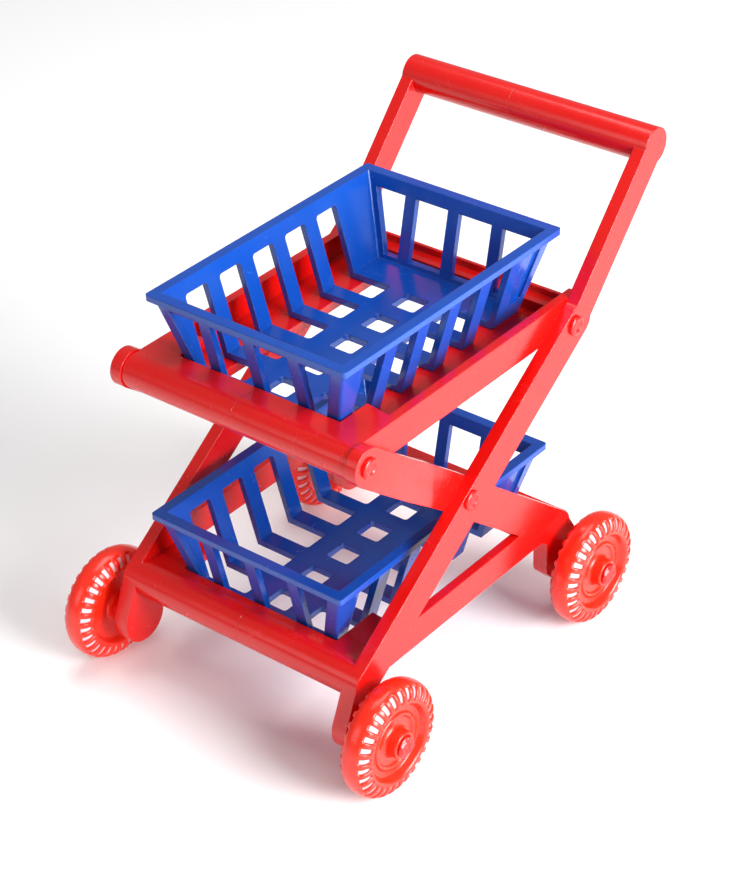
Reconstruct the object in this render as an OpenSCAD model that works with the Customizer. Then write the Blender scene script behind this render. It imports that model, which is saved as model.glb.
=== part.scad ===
// Toy shopping trolley. Two moulded side frames carry a pinned upper deck, two slatted
// baskets and four treaded wheels. Millimetres, Z up, -Y is the front.
// The origin is on the floor, midway across and midway along the trolley.
// A point in the side view is a pair [Y, Z].

/* [Basket] */
// Width over the rim
basket_w = 73.6; // [60:0.1:92]
// Length over the rim
basket_l = 102; // [84:0.5:126]
// Height from base to rim
basket_h = 28; // [22:0.5:34]
// Wall thickness, measured level
basket_wall = 2.2; // [1.6:0.1:3]
// Floor thickness
floor_t = 2.2; // [1.6:0.1:3]
// How far a long wall leans out for each millimetre of height
flare_x = 0.3; // [0.2:0.01:0.42]
// How far an end wall leans out for each millimetre of height
flare_y = 0.23; // [0.16:0.01:0.3]
// Height of the rim band
rim_h = 2; // [1.4:0.1:5]
// How far the rim band stands out past the wall
rim_lip = 1.2; // [0.6:0.1:2]
// Rounding of the basket's upright corners
basket_r = 1; // [0.6:0.1:5]
// Number of open slots in each long wall
slots = 5; // [3:1:6]
// Width of a slat between two slots
slat_w = 5.4; // [4:0.1:7]
// Centre of the first slot, from the front of the rim
slot_front = 16.5; // [14:0.5:20]
// Centre of the blind panel, from the rear of the rim
slot_rear = 11.5; // [10:0.5:14]
// Solid floor left on each side of the middle before the slots begin
floor_keep = 11.2; // [8:0.1:14]
// Width of a hole in the middle row of the floor
floor_hole = 8.5; // [5:0.1:10]
// Width of a slat in an end wall
end_slat = 4; // [3:0.1:5]
// Width of a corner post in an end wall
post_w = 4.5; // [3.5:0.1:6]
// Depth of the blind panel
panel_d = 0.8; // [0.4:0.1:1.2]

/* [Wheels] */
// Diameter over the tread
wheel_d = 37; // [31:0.5:45]
// Width of the tyre
wheel_w = 9.8; // [8:0.1:12]
// Diameter of the dished recess in the wheel's face
dish_d = 24.8; // [20:0.2:26]
// Depth of the dished recess
dish_depth = 2.5; // [1:0.1:3]
// Diameter of the wheel's hub
hub_d = 9; // [8:0.2:11]
// How far the hub stands out past the tyre
hub_out = 1.4; // [0.5:0.1:3]
// Diameter of the axle journal
axle_d = 5; // [4:0.1:6]
// Diameter of the staked end that keeps the wheel on
stake_d = 7; // [6.4:0.1:8.4]
// Gap between the side frame and the wheel
wheel_gap = 4; // [2:0.1:6]

/* [Side frame] */
// Thickness of a side frame
bar_t = 4.2; // [3.5:0.1:6]
// Width of the long lower bar
bar_w = 11.7; // [10:0.1:14]
// Width of the handle bar above the bend
upper_w = 9.6; // [8:0.1:11]
// Width of the rear leg
leg_w = 11.9; // [10:0.1:14]
// Diameter of the handle and of the front crossbar
tube_d = 11.6; // [10:0.2:14]
// Height of the front crossbar over the axle
foot_rise = 13.5; // [11:0.5:18]
// How far the front crossbar sits behind the front axle
foot_lean = 2.9; // [0:0.1:5]
// Thickness of a foot
foot_t = 5.2; // [4.6:0.1:7]
// Diameter of a foot's round end
foot_d = 16.6; // [14:0.2:20]
// Height of the level lower rail
low_rail_h = 9.5; // [8:0.5:12]
// Thickness of the level lower rail
low_rail_t = 3; // [2.4:0.1:4]
// Rise from the bend to the handle
handle_rise = 42.3; // [30:0.5:55]
// Setback from the bend to the handle
handle_back = 38.6; // [25:0.5:50]
// Place of the handle's joint, from the middle
handle_seam = -5; // [-10:0.5:10]

/* [Deck] */
// Height of the deck's axis over the floor
deck_z = 105.1; // [96:0.5:125]
// Height of the deck's side rails
rail_h = 10.5; // [9:0.5:13]
// Thickness of the deck's side rails
rail_t = 3; // [2.4:0.1:4]
// Diameter of the deck's front bar
deck_tube_d = 11; // [9:0.2:12]
// Thickness of the ledges that carry a basket
ledge_t = 3; // [2.4:0.1:4]
// How far a ledge reaches under a basket
ledge_under = 5; // [3:0.5:8]

/* [Struts and pins] */
// Thickness of a strut
strut_t = 4; // [3:0.1:5]
// Width of a strut
strut_w = 12; // [10:0.5:14]
// Diameter of a pin's shank
pin_d = 4; // [3:0.1:5]
// Diameter of a pin's head
pin_head_d = 6.4; // [5.6:0.1:8]
// Height of a pin's head
pin_head_t = 1.2; // [0.8:0.1:2]

/* [Clearances] */
// Play around a pin or an axle in its hole, on the radius
fit = 0.05; // [0.02:0.01:0.1]
// Gap between two layers that lie side by side
layer_gap = 0.1; // [0.05:0.05:0.3]
// End play of a wheel on its axle
wheel_play = 0.3; // [0.2:0.1:0.6]
// Gap between a basket and what it sits in
basket_gap = 0.6; // [0.4:0.1:1.2]
// Gap under a basket at rest
seat_gap = 0.1; // [0.05:0.05:0.2]
// Gap between a basket's rim and the struts
rim_gap = 0.9; // [0.5:0.1:2]

/* [Hidden] */
$fn = 64;
red = "red";
blue = "royalblue";

// Small fixed details
spigot_l = 6;
spigot_r = 3.4;
deck_spigot_r = 3.2;
pin_depth = 7;
collar_r = 4.5;
stake_t = 1.2;
dish_ring_r = 8.6;
dish_ring_w = 1.2;
dish_ring_h = 0.7;
flat_drop = 0.5;
pad_t = 3;
pad_slant = 1.3;
deck_pad_l = 12;
frame_pad_l = 17;
slot_drop = 2.2;
slot_r = 1.2;
hole_r = 1;
end_margin = 8;
axle_skin = 1.2;
leg_tuck = 3;
leg_end_off = [-5.4, 14];
foot_top_off = [-4.3, 15];
foot_top_r = 4;
toe_off = [-7.4, 1.7];
toe_r = 4.2;
toe_h = 11.3;
deck_past = 7;
bend_share = 0.65;
lip_w = 1.2;
lip_h = 2;
cross_w = 4.8;
rear_strip_w = 6.5;
rear_strip_h = 6;
panel_w = 9;
panel_taper = 3;
tuck = 0.3;
graze = 0.02;
eps = 0.01;

// Layers across the trolley, from the basket out
in_x = basket_w / 2 + rim_gap + strut_t + layer_gap;
out_x = in_x + bar_t;
deck_x = in_x - layer_gap;
strut_front_x = deck_x + layer_gap;
strut_mid_x = in_x - layer_gap - strut_t;
wheel_x = out_x + wheel_gap + wheel_w / 2;

// A basket's outer half sizes at height z over its base
function half_w(z) = basket_w / 2 - rim_lip - flare_x * (basket_h - z);
function half_l(z) = basket_l / 2 - rim_lip - flare_y * (basket_h - z);
slot_pitch = (basket_l - slot_front - slot_rear) / slots;
slot_w = slot_pitch - slat_w;
slot_top = basket_h - rim_h - slot_drop;
end_pitch = (basket_w - end_margin) / 4;
end_low = floor_t + 1.5;
function slot_y(i) = -basket_l / 2 + slot_front + i * slot_pitch;

// Side view: heights first, then places along the trolley
wheel_r = wheel_d / 2;
tube_r = tube_d / 2;
knuckle_z = wheel_r + foot_rise;
lip_z = knuckle_z - tube_r + 0.5;
low_seat = lip_z + ledge_t;
ledge_top = knuckle_z + tube_r - flat_drop;
cross_top = knuckle_z + 4;
ledge_d = 5.1;
deck_front_off = 3.5;
deck_short = 3.4;
pin_drop = 1.9;
bar_drop = 1.1;
kink_past = 2.8;
mid_off = 2.3;
bar_run = deck_front_off + basket_l - deck_short;
bar_rise = deck_z - pin_drop - bar_drop - knuckle_z;
bar_a = atan2(bar_rise, bar_run);
bar_u = [cos(bar_a), sin(bar_a)];
bar_n = [-sin(bar_a), cos(bar_a)];
kink_run = bar_run + kink_past * cos(bar_a);
knuckle_y = (foot_lean + wheel_r - kink_run - handle_back - tube_r) / 2;

knuckle = [knuckle_y, knuckle_z];
front_axle = [knuckle_y - foot_lean, wheel_r];
low_y = knuckle_y + ledge_d + basket_gap + half_l(ledge_top - low_seat);
cross_y = low_y + half_l(cross_top - low_seat) + basket_gap;
rear_axle = [cross_y + cross_w, wheel_r];
bar_end = knuckle + [bar_run, bar_rise];
kink = bar_end + kink_past * bar_u;
handle = kink + [handle_back, handle_rise];
front_pin = [knuckle_y + deck_front_off, deck_z];
rear_pin = bar_end + [0, bar_drop];
mid_pin = (knuckle + bar_end) / 2 + mid_off * bar_n;
leg_end = rear_axle + leg_end_off;
leg_u = (leg_end - mid_pin) / norm(leg_end - mid_pin);
leg_start = mid_pin + leg_tuck * leg_u;

deck_low = deck_z - rail_h / 2;
deck_seat = deck_low + ledge_t;
deck_rear = rear_pin.x + deck_past;
up_y = (front_pin.x + deck_rear) / 2;

// Shapes used throughout
module rounded_rect(w, l, r) {
    square([w - 2 * r, l], center = true);
    square([w, l - 2 * r], center = true);
    for (sx = [-1, 1], sy = [-1, 1])
        translate([sx * (w / 2 - r), sy * (l / 2 - r)]) circle(r);
}

// The straight sides between two discs. They stand in by graze, so that each side crosses
// the discs cleanly instead of only touching them.
module strap2d(p, rp, q, rq) {
    d = q - p;
    along = atan2(d.y, d.x);
    lean = asin((rp - rq) / norm(d));
    left = along + 90 - lean;
    right = along - 90 + lean;
    polygon([
        p + (rp - graze) * [cos(left), sin(left)],
        p + (rp - graze) * [cos(right), sin(right)],
        q + (rq - graze) * [cos(right), sin(right)],
        q + (rq - graze) * [cos(left), sin(left)]
    ]);
}

module link2d(p, rp, q, rq) {
    translate(p) circle(rp);
    translate(q) circle(rq);
    strap2d(p, rp, q, rq);
}

// A side-view outline given thickness across the trolley
module across(x0, x1) {
    translate([x0, 0, 0]) rotate([90, 0, 90]) linear_extrude(x1 - x0) children();
}

module rod(p, r, x0, x1) {
    translate([x0, p.x, p.y]) rotate([0, 90, 0]) cylinder(r = r, h = x1 - x0);
}

// Side frame
module bars2d() {
    link2d(knuckle, tube_r - tuck, kink, bar_w / 2);
    link2d(kink, upper_w / 2, handle, upper_w / 2);
    link2d(leg_start, leg_w / 2, leg_end, leg_w / 2);
}

// The level rail ends on the middle lines of the bar and the leg, inside both
module low_rail2d() {
    mid_z = knuckle_z + low_rail_h / 2;
    y0 = knuckle_y + low_rail_h / 2 / tan(bar_a);
    run = leg_end - mid_pin;
    y1 = mid_pin.x + (mid_z - mid_pin.y) * run.x / run.y;
    translate([y0, knuckle_z]) square([y1 - y0, low_rail_h]);
}

module feet2d() {
    toe = rear_axle + toe_off;
    link2d(knuckle, tube_r - tuck, front_axle, foot_d / 2);
    link2d(rear_axle, foot_d / 2, rear_axle + foot_top_off, foot_top_r);
    link2d(toe, toe_r, toe + [0, toe_h], toe_r);
    strap2d(rear_axle, foot_d / 2, toe, toe_r);
}

module front_ledge2d() {
    y1 = knuckle_y + ledge_d;
    translate([knuckle_y, lip_z]) square([ledge_d, ledge_top - lip_z]);
    translate([y1 - eps, lip_z]) square([basket_gap + ledge_under + eps, ledge_t]);
}

// Flat pad that fills a front corner beside the basket, with its top at height z
module corner_pad(x0, x1, y0, z, run) {
    outline = [[x0, y0 - 1], [x1, y0 - 1], [x1, y0 + run - pad_slant], [x0, y0 + run]];
    translate([0, 0, z - pad_t]) linear_extrude(pad_t) polygon(outline);
}

module rear_cross2d() {
    translate([cross_y, lip_z]) square([cross_w, cross_top - lip_z]);
    reach = basket_gap + ledge_under;
    translate([cross_y - reach, lip_z]) square([reach + eps, ledge_t]);
}

// side is 1 for the half with the spigots and -1 for the half with the sockets
module side_frame(side) {
    tube_x = side * handle_seam;
    difference() {
        union() {
            across(in_x, out_x) bars2d();
            across(out_x - low_rail_t, out_x) low_rail2d();
            across(out_x - foot_t, out_x) feet2d();
            across(0, in_x + eps) front_ledge2d();
            corner_pad(
                half_w(ledge_top - low_seat) + basket_gap, out_x - low_rail_t / 2,
                knuckle_y + ledge_d, ledge_top, frame_pad_l
            );
            across(0, out_x - 1) rear_cross2d();
            rod(knuckle, tube_r, 0, out_x);
            rod(handle, tube_r, tube_x, out_x);
            if (side > 0) {
                rod(knuckle, spigot_r, -spigot_l, 1);
                rod(handle, spigot_r, tube_x - spigot_l, tube_x + 1);
            }
        }
        rod(mid_pin, pin_d / 2 + fit, in_x - 1, out_x + 1);
        rod(rear_pin, pin_d / 2 + fit, in_x - 1, out_x + 1);
        rod(front_axle, axle_d / 2 + fit, out_x - foot_t + axle_skin, out_x + 1);
        rod(rear_axle, axle_d / 2 + fit, out_x - foot_t + axle_skin, out_x + 1);
        if (side < 0) {
            rod(knuckle, spigot_r + fit, -1, spigot_l + 0.5);
            rod(handle, spigot_r + fit, tube_x - 1, tube_x + spigot_l + 0.5);
        }
    }
}

// Upper deck, one half
module deck_rail2d() {
    translate(front_pin) circle(rail_h / 2);
    translate([front_pin.x, deck_low]) square([deck_rear - front_pin.x, rail_h]);
}

module deck_ledge() {
    inner_x = half_w(0) - ledge_under;
    inner_l = half_l(0) - ledge_under;
    translate([0, 0, deck_low]) linear_extrude(ledge_t) difference() {
        translate([0, front_pin.x]) square([deck_x, deck_rear - front_pin.x]);
        translate([-1, up_y - inner_l]) square([inner_x + 1, 2 * inner_l]);
    }
}

// The level top behind the front tube, and the pads at its corners
module deck_flat() {
    level = deck_low + rail_h;
    y1 = up_y - half_l(level - deck_seat) - basket_gap;
    translate([0, front_pin.x, deck_low])
        cube([deck_x - rail_t / 2, y1 - front_pin.x, rail_h]);
    x0 = half_w(level - deck_seat) + basket_gap;
    corner_pad(x0, deck_x - rail_t / 2, y1, level, deck_pad_l);
}

module deck(side) {
    difference() {
        union() {
            across(deck_x - rail_t, deck_x) deck_rail2d();
            rod(front_pin, deck_tube_d / 2, 0, deck_x);
            deck_ledge();
            deck_flat();
            translate([0, deck_rear - rear_strip_w, deck_low])
                cube([deck_x, rear_strip_w, rear_strip_h]);
            translate([0, deck_rear - lip_w, deck_low])
                cube([deck_x, lip_w, rear_strip_h + lip_h]);
            if (side > 0) rod(front_pin, deck_spigot_r, -spigot_l, 1);
        }
        rod(front_pin, pin_d / 2 + fit, deck_x - pin_depth - 0.5, deck_x + 1);
        rod(rear_pin, pin_d / 2 + fit, deck_x - rail_t - 1, deck_x + 1);
        if (side < 0) rod(front_pin, deck_spigot_r + fit, -1, spigot_l + 0.5);
    }
}

// Strut: a flat bar with a shallow crank, outside the deck at the front and inside the
// side frame at the middle pin
module strut() {
    fall = front_pin.y - mid_pin.y;
    slope = (mid_pin.x - front_pin.x) / fall;
    clear_z = deck_low - 1 - strut_w * bend_share;
    y_bend = front_pin.x + (front_pin.y - clear_z) * slope;
    y_flat = mid_pin.x - strut_w;
    y_ends = [front_pin.x - strut_w, mid_pin.x + strut_w];
    difference() {
        intersection() {
            across(0, out_x) link2d(front_pin, strut_w / 2, mid_pin, strut_w / 2);
            linear_extrude(deck_z + strut_w) polygon([
                [strut_front_x, y_ends[0]],
                [strut_front_x + strut_t, y_ends[0]],
                [strut_front_x + strut_t, y_bend],
                [strut_mid_x + strut_t, y_flat],
                [strut_mid_x + strut_t, y_ends[1]],
                [strut_mid_x, y_ends[1]],
                [strut_mid_x, y_flat],
                [strut_front_x, y_bend]
            ]);
        }
        rod(front_pin, pin_d / 2 + fit, strut_front_x - 1, out_x + 1);
        rod(mid_pin, pin_d / 2 + fit, strut_mid_x - 1, in_x + 1);
    }
}

// Push-in pin with a flat round head, seated on the face at x = face
module pin(p, face, length) {
    rod(p, pin_d / 2, face - length, face + eps);
    rod(p, pin_head_d / 2, face, face + pin_head_t * 0.7);
    rod(p, pin_head_d / 2 - 0.5, face, face + pin_head_t);
}

// Basket, with its base at z = 0
module tub_slice(z, inset) {
    r = basket_r - min(inset, basket_r / 2);
    translate([0, 0, z]) linear_extrude(eps)
        rounded_rect(2 * (half_w(z) - inset), 2 * (half_l(z) - inset), r);
}

module tub(z0, z1, inset) {
    hull() {
        tub_slice(z0, inset, $fn = 32);
        tub_slice(z1 - eps, inset, $fn = 32);
    }
}

// A slot is cut in plan and in elevation at once, with round corners in both
module long_wall_slots() {
    tall = slot_top + 2 * slot_r;
    for (i = [0 : slots - 1], side = [-1, 1]) intersection() {
        translate([side * (floor_keep + basket_w / 2), slot_y(i), -1]) linear_extrude(basket_h)
            rounded_rect(basket_w, slot_w, slot_r, $fn = 16);
        translate([-basket_w, slot_y(i), slot_top - tall / 2]) rotate([90, 0, 90])
            linear_extrude(2 * basket_w) rounded_rect(slot_w, tall, slot_r, $fn = 16);
    }
}

module end_wall_slots() {
    top_x = half_w(slot_top) - post_w;
    low_x = half_w(end_low) - post_w;
    for (side = [-1, 1]) {
        rotate([90, 0, 0]) linear_extrude(2 * basket_l, center = true) polygon([
            [side * end_slat / 2, end_low],
            [side * (end_pitch - end_slat / 2), end_low],
            [side * (end_pitch - end_slat / 2), slot_top],
            [side * end_slat / 2, slot_top]
        ]);
        rotate([90, 0, 0]) linear_extrude(2 * basket_l, center = true) polygon([
            [side * (end_pitch + end_slat / 2), end_low],
            [side * low_x, end_low],
            [side * top_x, slot_top],
            [side * (end_pitch + end_slat / 2), slot_top]
        ]);
    }
}

module floor_holes() {
    for (i = [0 : slots - 1])
        translate([0, slot_y(i), -1]) linear_extrude(floor_t + 2)
            rounded_rect(floor_hole, slot_w - 1, hole_r, $fn = 16);
}

// The blind panel behind the last slot of each long wall
module blind_panels() {
    mid = slot_y(slots);
    difference() {
        rotate([90, 0, 90]) linear_extrude(2 * basket_w, center = true) polygon([
            [mid - panel_w / 2, floor_t + 4],
            [mid + panel_w / 2 - panel_taper, floor_t + 4],
            [mid + panel_w / 2, slot_top],
            [mid - panel_w / 2, slot_top]
        ]);
        tub(-1, basket_h + 1, panel_d);
    }
}

module basket() {
    difference() {
        union() {
            tub(0, basket_h, 0);
            translate([0, 0, basket_h - rim_h]) linear_extrude(rim_h)
                rounded_rect(basket_w, basket_l, basket_r);
        }
        tub(floor_t, basket_h + 1, basket_wall);
        long_wall_slots();
        end_wall_slots();
        floor_holes();
        blind_panels();
    }
}

// Wheel, about its own axis, with its outer face towards +Z before it is turned
module wheel() {
    half = wheel_w / 2;
    rotate_extrude($fn = 96) {
        intersection() {
            union() {
                translate([wheel_r - half, 0]) circle(half);
                translate([dish_d / 2, -half]) square([wheel_r - half - dish_d / 2, wheel_w]);
            }
            translate([dish_d / 2, -half]) square([wheel_r, wheel_w]);
        }
        web_low = -half + dish_depth;
        translate([axle_d / 2 + fit, web_low])
            square([dish_d / 2 - axle_d / 2 - fit + eps, wheel_w - 2 * dish_depth]);
        translate([axle_d / 2 + fit, -half])
            square([hub_d / 2 - axle_d / 2 - fit, wheel_w + hub_out]);
        translate([dish_ring_r - dish_ring_w / 2, 0])
            square([dish_ring_w, half - dish_depth + dish_ring_h]);
    }
}

module placed_wheel(axle) {
    translate([wheel_x, axle.x, axle.y]) rotate([0, 90, 0]) wheel();
}

// Stub axle: spigot in the foot, collar, journal and staked end
module axle(p) {
    collar_end = out_x + wheel_gap - wheel_play;
    journal_end = wheel_x + wheel_w / 2 + hub_out + wheel_play;
    rod(p, axle_d / 2, out_x - foot_t + axle_skin + layer_gap, journal_end + eps);
    rod(p, collar_r, out_x, collar_end);
    rod(p, stake_d / 2, journal_end, journal_end + stake_t);
}

module left() {
    mirror([1, 0, 0]) children();
}

// Nodes
module side_frame_left() { color(red) left() side_frame(-1); }
module side_frame_right() { color(red) side_frame(1); }
module deck_left() { color(red) left() deck(-1); }
module deck_right() { color(red) deck(1); }
module strut_left() { color(red) left() strut(); }
module strut_right() { color(red) strut(); }
module basket_upper() { color(blue) translate([0, up_y, deck_seat + seat_gap]) basket(); }
module basket_lower() { color(blue) translate([0, low_y, low_seat + seat_gap]) basket(); }
module wheel_front_left() { color(red) left() placed_wheel(front_axle); }
module wheel_front_right() { color(red) placed_wheel(front_axle); }
module wheel_rear_left() { color(red) left() placed_wheel(rear_axle); }
module wheel_rear_right() { color(red) placed_wheel(rear_axle); }
module axle_front_left() { color(red) left() axle(front_axle); }
module axle_front_right() { color(red) axle(front_axle); }
module axle_rear_left() { color(red) left() axle(rear_axle); }
module axle_rear_right() { color(red) axle(rear_axle); }
front_pin_l = strut_t + layer_gap + pin_depth;
mid_pin_l = bar_t + layer_gap + strut_t;
rear_pin_l = bar_t + layer_gap + rail_t;
module front_pin_at() { pin(front_pin, strut_front_x + strut_t, front_pin_l); }
module middle_pin_at() { pin(mid_pin, out_x, mid_pin_l); }
module rear_pin_at() { pin(rear_pin, out_x, rear_pin_l); }
module pin_front_left() { color(red) left() front_pin_at(); }
module pin_front_right() { color(red) front_pin_at(); }
module pin_middle_left() { color(red) left() middle_pin_at(); }
module pin_middle_right() { color(red) middle_pin_at(); }
module pin_rear_left() { color(red) left() rear_pin_at(); }
module pin_rear_right() { color(red) rear_pin_at(); }

side_frame_left();
side_frame_right();
deck_left();
deck_right();
strut_left();
strut_right();
basket_upper();
basket_lower();
wheel_front_left();
wheel_front_right();
wheel_rear_left();
wheel_rear_right();
axle_front_left();
axle_front_right();
axle_rear_left();
axle_rear_right();
pin_front_left();
pin_front_right();
pin_middle_left();
pin_middle_right();
pin_rear_left();
pin_rear_right();
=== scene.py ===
# %% [markdown]
# # A toy shopping trolley
# The trolley is a set of glossy plastic mouldings: two side frames, a deck in two halves,
# two slatted baskets and four treaded wheels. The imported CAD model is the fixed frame, so
# every piece made here takes its place and size from a CAD node and rides on its body.

import math

import bmesh
import bpy
import numpy as np
from mathutils import Matrix, Vector


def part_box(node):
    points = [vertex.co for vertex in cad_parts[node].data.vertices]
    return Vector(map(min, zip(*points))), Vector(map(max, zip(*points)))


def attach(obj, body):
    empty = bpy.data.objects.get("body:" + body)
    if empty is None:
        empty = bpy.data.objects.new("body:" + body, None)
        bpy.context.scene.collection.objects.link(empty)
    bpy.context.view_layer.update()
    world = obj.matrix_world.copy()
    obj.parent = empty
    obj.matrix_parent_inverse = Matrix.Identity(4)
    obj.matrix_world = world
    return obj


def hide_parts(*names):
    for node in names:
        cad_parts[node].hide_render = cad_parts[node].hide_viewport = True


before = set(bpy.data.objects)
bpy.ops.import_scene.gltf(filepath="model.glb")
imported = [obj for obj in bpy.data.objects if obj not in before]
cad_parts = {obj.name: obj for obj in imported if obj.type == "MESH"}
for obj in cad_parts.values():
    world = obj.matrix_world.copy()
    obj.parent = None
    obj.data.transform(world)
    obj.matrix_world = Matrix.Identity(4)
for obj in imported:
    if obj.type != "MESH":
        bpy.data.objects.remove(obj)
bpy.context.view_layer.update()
MM = 0.001
TAU = 2 * math.pi

# %% [markdown]
# ## Where the viewer stands
# The trolley is seen from its front right corner and from well above, with a long lens.
# The camera goes on a sphere round a point in the middle of the trolley, and is turned a
# little about its own axis, as a hand-held camera is.

# %% Camera
AIM = Vector((0, -0.0117, 0.0587))
AZIMUTH, ELEVATION, TILT = (math.radians(a) for a in (39.99, 33.94, -2.04))
DISTANCE = 0.735
LENS_MM, SENSOR_MM = 115.25, 36
SHIFT = (0.027, 0.0478)
away = Vector((
    math.sin(AZIMUTH) * math.cos(ELEVATION),
    -math.cos(AZIMUTH) * math.cos(ELEVATION),
    math.sin(ELEVATION),
))
cam_data = bpy.data.cameras.new("camera")
cam_data.lens = LENS_MM
cam_data.sensor_fit = "HORIZONTAL"
cam_data.sensor_width = SENSOR_MM
cam_data.shift_x, cam_data.shift_y = SHIFT
cam_data.clip_start = 0.01
camera = bpy.data.objects.new("camera", cam_data)
turn = (-away).to_track_quat("-Z", "Y").to_matrix().to_4x4()
camera.matrix_world = (
    Matrix.Translation(AIM + DISTANCE * away) @ turn @ Matrix.Rotation(TILT, 4, "Z")
)
bpy.context.scene.collection.objects.link(camera)
bpy.context.scene.camera = camera
print("camera at", [round(c, 3) for c in camera.matrix_world.translation])

# %% [markdown]
# ## Light and floor
# Glossy plastic looks like what it reflects, so the lights are large soft boxes: one at the
# trolley's right that lights the side faces, one overhead, and a weak one at the front. The
# sky is a pale even white, and the floor is a plain pale sheet. The plain view of colour is
# used, because saturated red plastic would look washed out in a film-like one.

# %% Lights and floor
def soft_box(name, place, size, watts):
    """A square area light at a place, facing the middle of the trolley."""
    data = bpy.data.lights.new(name, "AREA")
    data.size = size
    data.energy = watts
    light = bpy.data.objects.new(name, data)
    place = Vector(place)
    facing = (AIM - place).to_track_quat("-Z", "Y").to_matrix().to_4x4()
    light.matrix_world = Matrix.Translation(place) @ facing
    bpy.context.scene.collection.objects.link(light)
    return light


soft_box("side_box", (0.9, 0.0, 0.4), 0.6, 22)
soft_box("top_box", (-0.1, 0.2, 1.1), 0.7, 6)
soft_box("front_box", (-0.35, -1.0, 0.5), 0.5, 1.5)

world = bpy.data.worlds.new("pale_room")
bpy.context.scene.world = world
world.use_nodes = True
sky = world.node_tree.nodes["Background"]
sky.inputs["Color"].default_value = (1, 1, 1, 1)
sky.inputs["Strength"].default_value = 0.32
bpy.context.scene.view_settings.view_transform = "Standard"
print("three soft boxes and a pale sky")


def grid_sheet(name, width, cells):
    """A flat square grid of cells by cells at height 0, from two arrays of places."""
    line = np.linspace(-width / 2, width / 2, cells + 1)
    x, y = np.meshgrid(line, line, indexing="ij")
    verts = np.stack([x, y, np.zeros_like(x)], axis=-1).reshape(-1, 3)
    a = np.arange((cells + 1) ** 2).reshape(cells + 1, cells + 1)
    quads = np.stack([a[:-1, :-1], a[1:, :-1], a[1:, 1:], a[:-1, 1:]], axis=-1).reshape(-1, 4)
    mesh = bpy.data.meshes.new(name)
    mesh.from_pydata(verts.tolist(), [], quads.tolist())
    obj = bpy.data.objects.new(name, mesh)
    bpy.context.scene.collection.objects.link(obj)
    return obj


floor = grid_sheet("floor", 8.0, 4)
print("floor", len(floor.data.polygons), "faces")

# %% [markdown]
# ## Colours and node helper
# Colours are written as sRGB hex, as a designer picks them, and one function turns them to
# the linear values that the renderer adds up. One more function adds a node, sets its
# sockets and links it, so each material reads as a short recipe.

# %% Colour and node helpers
def linear(hex_code):
    """sRGB hex to linear RGBA: values under 0.04045 over 12.92, the rest to the power 2.4."""
    s = np.array([int(hex_code[i : i + 2], 16) for i in (1, 3, 5)]) / 255
    low = s <= 0.04045
    rgb = np.where(low, s / 12.92, ((s + 0.055) / 1.055) ** 2.4)
    return (*rgb.tolist(), 1.0)


def add(tree, kind, values=None, links=None, **settings):
    """One node: its settings, its socket values, and the sockets that feed it."""
    n = tree.nodes.new(kind)
    for key, value in settings.items():
        setattr(n, key, value)
    for key, value in (values or {}).items():
        n.inputs[key].default_value = value
    for key, source in (links or {}).items():
        tree.links.new(source, n.inputs[key])
    return n


def new_material(name):
    mat = bpy.data.materials.new(name)
    mat.use_nodes = True
    mat.node_tree.nodes.clear()
    return mat, mat.node_tree


# %% [markdown]
# ## Glossy injection-moulded polystyrene
# Toy mouldings like these are high-impact polystyrene, coloured through and shot into a
# polished steel mould. That gives a bright skin that is not quite flat: it ripples over a
# few millimetres where the plastic shrank, carries fine scuffs from play, and is a touch
# paler where it is scuffed. The ripple and scuffs are noise at those real sizes. Its edges
# are about half a millimetre round, which the shader works out from the nearby faces.

# %% Moulded plastic
RIPPLE_MM = 6.0
PEEL_MM = 1.1
SCUFF_MM = 9.0
CLOUD_MM = 22.0
EDGE_MM = 0.45
CLOUD_TINT = 0.2
SCUFF_TINT = 0.07


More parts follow.
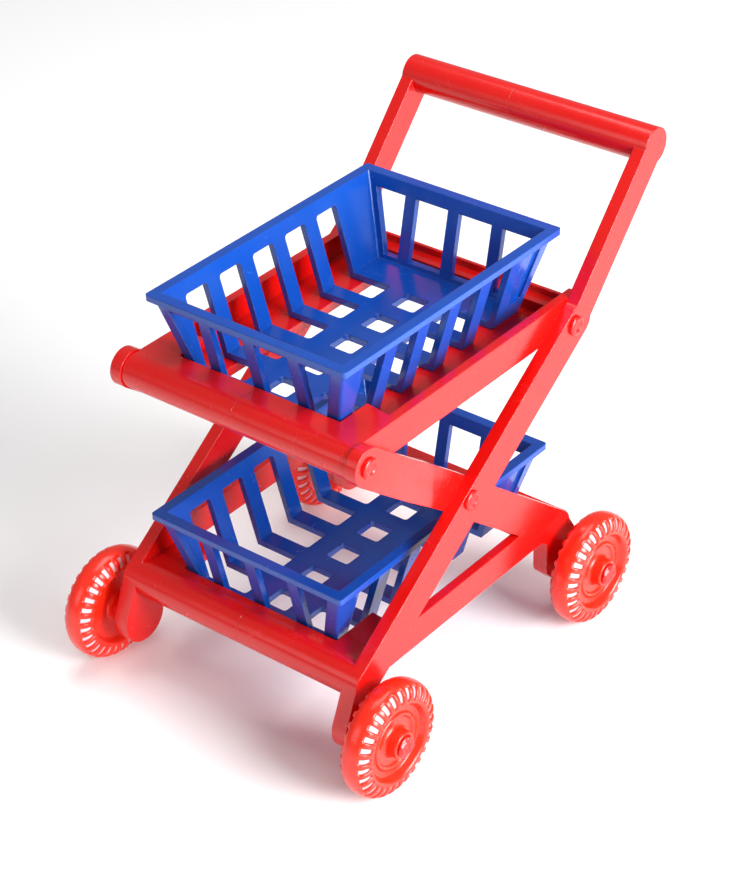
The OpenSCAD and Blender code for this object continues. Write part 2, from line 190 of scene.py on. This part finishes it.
def moulded_plastic(name, base, pale, rough, ripple=0.05, glow=0.02):
    """Colour-through plastic: base and pale mixed by cloudy noise, with ripple and scuffs."""
    mat, tree = new_material(name)
    place = add(tree, "ShaderNodeTexCoord").outputs["Object"]
    cloud = add(tree, "ShaderNodeTexNoise", {"Scale": 1 / (CLOUD_MM * MM), "Detail": 3.0},
                {"Vector": place})
    scuff = add(tree, "ShaderNodeTexNoise",
                {"Scale": 1 / (SCUFF_MM * MM), "Detail": 8.0, "Roughness": 0.72,
                 "Distortion": 1.4}, {"Vector": place})
    marks = add(tree, "ShaderNodeMapRange",
                {"From Min": 0.56, "From Max": 0.74, "To Min": 0.0, "To Max": 1.0},
                {"Value": scuff.outputs["Fac"]})
    tint = add(tree, "ShaderNodeMapRange",
               {"From Min": 0.3, "From Max": 0.8, "To Min": 0.0, "To Max": CLOUD_TINT},
               {"Value": cloud.outputs["Fac"]})
    amount = add(tree, "ShaderNodeMath", {1: SCUFF_TINT}, {0: marks.outputs[0]},
                 operation="MULTIPLY")
    both = add(tree, "ShaderNodeMath", None, {0: tint.outputs[0], 1: amount.outputs[0]},
               operation="ADD", use_clamp=True)
    colour = add(tree, "ShaderNodeMix", {"A": linear(base), "B": linear(pale)},
                 {"Factor": both.outputs[0]}, data_type="RGBA")
    gloss = add(tree, "ShaderNodeMapRange",
                {"From Min": 0.0, "From Max": 1.0, "To Min": rough, "To Max": rough + 0.16},
                {"Value": marks.outputs[0]})
    wave = add(tree, "ShaderNodeTexNoise", {"Scale": 1 / (RIPPLE_MM * MM), "Detail": 1.0},
               {"Vector": place})
    peel = add(tree, "ShaderNodeTexNoise", {"Scale": 1 / (PEEL_MM * MM), "Detail": 2.0},
               {"Vector": place})
    edge = add(tree, "ShaderNodeBevel", {"Radius": EDGE_MM * MM}, samples=6)
    bump = add(tree, "ShaderNodeBump", {"Strength": 1.0, "Distance": ripple * MM},
               {"Height": wave.outputs["Fac"], "Normal": edge.outputs[0]})
    bump = add(tree, "ShaderNodeBump", {"Strength": 0.5, "Distance": 0.01 * MM},
               {"Height": peel.outputs["Fac"], "Normal": bump.outputs[0]})
    skin = add(tree, "ShaderNodeBsdfPrincipled",
               {"IOR": 1.55, "Subsurface Weight": glow, "Subsurface Scale": 1.5 * MM},
               {"Base Color": colour.outputs["Result"], "Roughness": gloss.outputs[0],
                "Normal": bump.outputs[0]})
    add(tree, "ShaderNodeOutputMaterial", None, {"Surface": skin.outputs[0]})
    return mat


red_plastic = moulded_plastic("red_polystyrene", "#D20A07", "#E8281C", 0.22)
blue_plastic = moulded_plastic("blue_polystyrene", "#053F9C", "#1A62C8", 0.2)
print("plastics", red_plastic.name, blue_plastic.name)

# %% [markdown]
# ## A pale floor
# A sheet of matt white board. It has a very soft mottle, so that it isn't one flat colour.

# %% Floor material
board, tree = new_material("matt_white_board")
spot = add(tree, "ShaderNodeTexNoise", {"Scale": 3.0, "Detail": 2.0},
           {"Vector": add(tree, "ShaderNodeTexCoord").outputs["Object"]})
shade = add(tree, "ShaderNodeMix", {"A": linear("#F6F6F6"), "B": linear("#FCFCFC")},
            {"Factor": spot.outputs["Fac"]}, data_type="RGBA")
sheet = add(tree, "ShaderNodeBsdfPrincipled", {"Roughness": 0.85},
            {"Base Color": shade.outputs["Result"]})
add(tree, "ShaderNodeOutputMaterial", None, {"Surface": sheet.outputs[0]})
floor.data.materials.append(board)
print("floor of", board.name)

# %% [markdown]
# ## Smooth mouldings
# The frame, the decks, the struts and the baskets have their final shape in CAD, so each gets
# a copy of the CAD mesh with its loose triangles merged and its flat faces joined up. No
# moulded edge is a knife edge, and the round that catches the light comes from the plastic's
# own edge rounding. A modelled round of that size would fold over itself in the small round
# corners of the slots.

# %% Smooth copies
def show_smooth(obj, degrees=20):
    """Smooth shading, with edges sharper than the angle kept crisp."""
    mesh = obj.data
    mesh.polygons.foreach_set("use_smooth", np.ones(len(mesh.polygons), dtype=bool))
    mesh.set_sharp_from_angle(angle=math.radians(degrees))


def smooth_copy(node, material, body):
    """A merged copy of a CAD node with clean flat faces, which stands for that node.

    Only places and faces are copied, so the shading is worked out anew from the faces.
    """
    work = bmesh.new()
    work.from_mesh(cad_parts[node].data)
    bmesh.ops.remove_doubles(work, verts=work.verts, dist=1e-6)
    bmesh.ops.dissolve_limit(work, angle_limit=math.radians(0.4), verts=work.verts,
                             edges=work.edges)
    bmesh.ops.triangulate(work, faces=[f for f in work.faces if len(f.verts) > 4])
    work.verts.index_update()
    mesh = bpy.data.meshes.new(node + "_moulding")
    mesh.from_pydata([v.co[:] for v in work.verts], [],
                     [[v.index for v in f.verts] for f in work.faces])
    work.free()
    obj = bpy.data.objects.new(node + "_moulding", mesh)
    bpy.context.scene.collection.objects.link(obj)
    mesh.materials.append(material)
    show_smooth(obj)
    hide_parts(node)
    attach(obj, body)
    print(obj.name, len(mesh.polygons), "faces")


for side in ("left", "right"):
    for node in ("side_frame", "deck", "strut"):
        smooth_copy(f"{node}_{side}", red_plastic, "frame")
for place in ("upper", "lower"):
    smooth_copy(f"basket_{place}", blue_plastic, f"basket_{place}")

# %% [markdown]
# ## A surface of revolution on a grid
# Pins, axles and wheels are all round about a line across the trolley. Each is one grid: one
# parameter goes along a profile of radius and place, the other goes round the axle. The
# profile's ends sit on the axis or meet each other, so the surface is closed.

# %% Grid helpers
def smooth_profile(points, radius, steps=5):
    """Rounds each inner corner of a polyline with a curve that starts and ends radius away.

    At corner B between A and C the curve is the quadratic (1-t)^2 P + 2t(1-t) B + t^2 Q,
    where P and Q lie on AB and BC at the smaller of radius and 45% of the side.
    """
    points = np.asarray(points, float)
    t = np.linspace(0, 1, steps)[:, None]
    out = [points[:1]]
    for a, b, c in zip(points[:-2], points[1:-1], points[2:]):
        back, ahead = a - b, c - b
        p = b + back / np.linalg.norm(back) * min(radius, 0.45 * np.linalg.norm(back))
        q = b + ahead / np.linalg.norm(ahead) * min(radius, 0.45 * np.linalg.norm(ahead))
        out.append((1 - t) ** 2 * p + 2 * t * (1 - t) * b + t**2 * q)
    out.append(points[-1:])
    return np.concatenate(out)


def revolve(name, profile, turns, centre, closed=False, shape=None):
    """Grid point (i, j) is at radius r_i, angle a_j about X, and place x_i along X.

    profile holds rows of (x, r) in millimetres, and shape may change x and r on the whole
    grid. A profile that isn't closed starts and ends on the axis.
    """
    angle = np.arange(turns) / turns * TAU
    x = np.repeat(profile[:, :1], turns, axis=1)
    r = np.repeat(profile[:, 1:], turns, axis=1)
    around = np.broadcast_to(angle, x.shape)
    if shape:
        x, r = shape(x, r, around)
    verts = np.stack([x, r * np.cos(around), r * np.sin(around)], axis=-1).reshape(-1, 3)
    rows = len(profile)
    index = np.arange(rows * turns).reshape(rows, turns)
    below = index if closed else index[:-1]
    above = np.roll(index, -1, axis=0) if closed else index[1:]
    quads = np.stack([below, above, np.roll(above, -1, axis=1), np.roll(below, -1, axis=1)],
                     axis=-1).reshape(-1, 4)
    mesh = bpy.data.meshes.new(name)
    mesh.from_pydata((verts * MM + np.asarray(centre)).tolist(), [], quads.tolist())
    work = bmesh.new()
    work.from_mesh(mesh)
    bmesh.ops.remove_doubles(work, verts=work.verts, dist=1e-7)
    bmesh.ops.recalc_face_normals(work, faces=work.faces)
    work.to_mesh(mesh)
    work.free()
    obj = bpy.data.objects.new(name, mesh)
    bpy.context.scene.collection.objects.link(obj)
    return obj


def stand_for(obj, node, body, material):
    """Gives a finished piece its material, hides its CAD node and ties it to its body."""
    obj.data.materials.append(material)
    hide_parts(node)
    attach(obj, body)


# %% [markdown]
# ## The wheel's section and tread
# Each wheel is one moulding: a fat tyre with thirty short grooves on each shoulder, a dished
# face, a raised ring and a hub. It could be built from separate tyre and disc pieces, but it
# is one shot of plastic. So the profile goes once round the section, and the grooves are
# pressed into it by a smooth function of the angle: the whole wheel is one grid.

# %% Wheel section and tread
GROOVES = 30
GROOVE_DEPTH = 1.1
GROOVE_IN, GROOVE_OUT = 13.9, 17.7
WHEEL_TURNS = 480
DISH_R, DISH_DEPTH = 12.4, 2.5
RING_OUT, RING_IN, RING_RISE = 9.4, 7.6, 0.8
HUB_R, HUB_OUT, BORE_R = 4.5, 1.4, 2.55


def wheel_section(wheel_r, half):
    """Closed profile of (x, r): tyre, outer dish with its ring, hub, bore, inner dish.

    The tyre is half an ellipse-like curve: sin and cos of the angle to the power flat.
    """
    crown = np.linspace(-math.pi / 2, math.pi / 2, 45)[:, None]
    flat = 0.86
    tyre_x = half * np.sign(np.sin(crown)) * np.abs(np.sin(crown)) ** flat
    tyre_r = wheel_r - half + half * np.cos(crown) ** flat
    tyre = np.concatenate([tyre_x, tyre_r], axis=1)
    web, ring, hub = half - DISH_DEPTH, half - DISH_DEPTH + RING_RISE, half + HUB_OUT
    outer = smooth_profile([
        (half, wheel_r - half), (half, DISH_R + 0.5), (half - 0.4, DISH_R),
        (web, DISH_R - 1.0), (web, RING_OUT), (ring, RING_OUT - 0.4),
        (ring, RING_IN + 0.6), (web - 0.2, RING_IN), (web - 0.1, HUB_R + 0.8),
        (web + 0.6, HUB_R + 0.1), (hub, HUB_R - 0.2), (hub, BORE_R + 0.3), (hub - 0.3, BORE_R),
    ], 0.5)[1:]
    inner = smooth_profile([
        (hub - 0.3, BORE_R), (-half + 0.3, BORE_R), (-half, BORE_R + 0.3),
        (-half, HUB_R - 0.2), (-web - 0.5, HUB_R + 0.1), (-web, HUB_R + 0.8),
        (-web, DISH_R - 1.0), (-half + 0.4, DISH_R), (-half, DISH_R + 0.5),
        (-half, wheel_r - half),
    ], 0.5)[1:-1]
    return np.concatenate([tyre, outer, inner])


def groove_mask(x, r, around, half):
    """How deep into a groove a point is, 0 to 1: a window round the turn times one in radius.

    Round the turn it is a cosine raised to an edge, thirty to the turn. In radius it rises
    and falls smoothly between the groove's inner and outer ends, on the tyre's faces only.
    """
    turn = np.cos(around * GROOVES)
    window = np.clip((turn + 0.15) / 0.55, 0, 1)
    window = window * window * (3 - 2 * window)
    middle, reach = (GROOVE_IN + GROOVE_OUT) / 2, (GROOVE_OUT - GROOVE_IN) / 2
    along = np.clip((1.12 - np.abs(r - middle) / reach) / 0.35, 0, 1)
    along = along * along * (3 - 2 * along)
    return window * along * (np.abs(x) > half * 0.35)


def tread(half, core_r):
    """Moves tyre points inward, along the line to the middle of the tyre's section."""
    def shape(x, r, around):
        cut = GROOVE_DEPTH * groove_mask(x, r, around, half)
        out = np.stack([x, r - core_r])
        size = np.maximum(np.hypot(out[0], out[1]), 1e-6)
        on_tyre = r >= core_r - 0.4
        return (x - np.where(on_tyre, cut * out[0] / size, 0),
                r - np.where(on_tyre, cut * out[1] / size, 0))
    return shape


# %% [markdown]
# ## Groove floors
# The grooves are pale: talc and wax from the mould stay in them where no hand rubs. The
# wheel's material reads a "groove" attribute, which holds how deep in a groove each point
# is, and mixes the red towards a dull pinkish white there.

# %% Wheel material
def treaded_plastic():
    """The wheel's red plastic, with a pale dull bloom where the groove attribute is high."""
    mat = moulded_plastic("treaded_red_polystyrene", "#EE2008", "#FF4A30", 0.24, ripple=0.07)
    tree = mat.node_tree
    skin = next(n for n in tree.nodes if n.type == "BSDF_PRINCIPLED")
    depth = add(tree, "ShaderNodeAttribute", attribute_name="groove").outputs["Fac"]
    bloom = add(tree, "ShaderNodeMapRange",
                {"From Min": 0.45, "From Max": 0.9, "To Min": 0.0, "To Max": 0.9},
                {"Value": depth})
    colour = add(tree, "ShaderNodeMix", {"B": linear("#EBD3DB")},
                 {"Factor": bloom.outputs[0], "A": skin.inputs["Base Color"].links[0].from_socket},
                 data_type="RGBA")
    tree.links.new(colour.outputs["Result"], skin.inputs["Base Color"])
    return mat


treaded = treaded_plastic()
print("wheel plastic", treaded.name)

# %% [markdown]
# ## The four wheels
# A wheel takes its radius, width and place from its CAD node, so it turns about the same
# line. The left ones are mirrored in the profile, so that each hub is on the outside.

# %% Wheels
def make_wheel(place):
    """A treaded wheel where its CAD node is, with its hub on the outside."""
    node = "wheel_" + place
    low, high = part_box(node)
    low, high = np.array(low) / MM, np.array(high) / MM
    side = 1 if place.endswith("right") else -1
    wheel_r = (high[2] - low[2]) / 2
    half = (high[0] - low[0] - HUB_OUT) / 2
    inner_x = low[0] if side > 0 else high[0]
    centre = np.array([inner_x + side * half, (low[1] + high[1]) / 2, wheel_r]) * MM
    section = wheel_section(wheel_r, half)
    core_r = wheel_r - half
    cut = tread(half, core_r)
    kept = {}

    def shape(x, r, around):
        kept["depth"] = groove_mask(x, r, around, half) * (r >= core_r - 0.4)
        x, r = cut(x, r, around)
        return side * x, r

    obj = revolve(node + "_treaded", section, WHEEL_TURNS, centre, closed=True, shape=shape)
    depth = obj.data.attributes.new("groove", "FLOAT", "POINT")
    depth.data.foreach_set("value", kept["depth"].ravel().astype(np.float32))
    show_smooth(obj, 50)
    stand_for(obj, node, node, treaded)
    print(obj.name, len(obj.data.polygons), "faces, radius", round(wheel_r, 2), "mm")
    return obj


for place in ("front_left", "front_right", "rear_left", "rear_right"):
    make_wheel(place)

# %% [markdown]
# ## Pins
# The pins are pushed through the layers, and their round heads stand a millimetre proud with
# a soft rim and a shallow sink mark, where the thick plastic shrank. One turned profile
# makes the head and the shank together.

# %% Pins
HEAD_T, SHANK_R = 1.2, 2.0


def make_pin(place):
    """A pin with a rounded head that is dished by a sink mark in its middle."""
    node = "pin_" + place
    low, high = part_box(node)
    low, high = np.array(low) / MM, np.array(high) / MM
    side = 1 if place.endswith("right") else -1
    length, head_r = high[0] - low[0], (high[2] - low[2]) / 2
    face = length - HEAD_T
    profile = smooth_profile([
        (0, 0), (0, SHANK_R - 0.3), (0.3, SHANK_R), (face, SHANK_R), (face, head_r),
        (face + HEAD_T * 0.7, head_r), (length, head_r - 0.7), (length, head_r - 1.3),
        (length - 0.45, head_r - 2.0), (length - 0.5, 0),
    ], 0.45)
    start = low[0] if side > 0 else high[0]
    centre = np.array([start, (low[1] + high[1]) / 2, (low[2] + high[2]) / 2]) * MM
    obj = revolve(node + "_turned", profile, 48, centre,
                  shape=lambda x, r, a: (side * x, r))
    show_smooth(obj, 40)
    stand_for(obj, node, "frame", red_plastic)


for place in ("front", "middle", "rear"):
    for side in ("left", "right"):
        make_pin(f"{place}_{side}")
print("six pins")

# %% [markdown]
# ## Axles
# Each wheel turns on a stub axle that is pushed into the foot. After the wheel goes on, the
# axle's end is flattened with a hot tool, which leaves a rough low dome that keeps the wheel
# on. The dome's roughness is a few slow waves round the end.

# %% Axles
SPIGOT_L, COLLAR_T, COLLAR_R = 5.2, 3.7, 4.5
JOURNAL_R, STAKE_R, STAKE_T = 2.5, 3.5, 1.2


def add_midpoints(profile):
    """The profile with the point halfway along each side put in."""
    out = np.empty((2 * len(profile) - 1, 2))
    out[::2] = profile
    out[1::2] = (profile[:-1] + profile[1:]) / 2
    return out


def make_axle(place):
    """A stub axle: plain spigot, collar, journal, and a staked end made uneven by waves."""
    node = "axle_" + place
    low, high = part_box(node)
    low, high = np.array(low) / MM, np.array(high) / MM
    side = 1 if place.endswith("right") else -1
    length = high[0] - low[0]
    collar_in, collar_out, stake_in = SPIGOT_L, SPIGOT_L + COLLAR_T, length - STAKE_T
    profile = add_midpoints(smooth_profile([
        (0, 0), (0, JOURNAL_R), (collar_in, JOURNAL_R), (collar_in, COLLAR_R),
        (collar_out, COLLAR_R), (collar_out, JOURNAL_R), (stake_in, JOURNAL_R),
        (stake_in, STAKE_R), (length - 0.5, STAKE_R), (length, STAKE_R - 0.7),
        (length, 1.2), (length - 0.3, 0),
    ], 0.3))

    def shape(x, r, around):
        """Waves of three and five to the turn move the last 0.9 mm in, and pinch its rim."""
        end = np.clip((x - (length - 0.9)) / 0.6, 0, 1) * np.clip(r / 0.8, 0, 1)
        waves = np.sin(3 * around + 2.1 * r) * np.cos(5 * around - 1.7 * r)
        rim = 1 - 0.05 * end * (1 + np.sin(4 * around))
        return side * (x - 0.14 * end * (1 + waves)), r * rim

    start = low[0] if side > 0 else high[0]
    centre = np.array([start, (low[1] + high[1]) / 2, (low[2] + high[2]) / 2]) * MM
    obj = revolve(node + "_staked", profile, 64, centre, shape=shape)
    show_smooth(obj, 40)
    stand_for(obj, node, "frame", red_plastic)


for place in ("front_left", "front_right", "rear_left", "rear_right"):
    make_axle(place)
print("four axles")
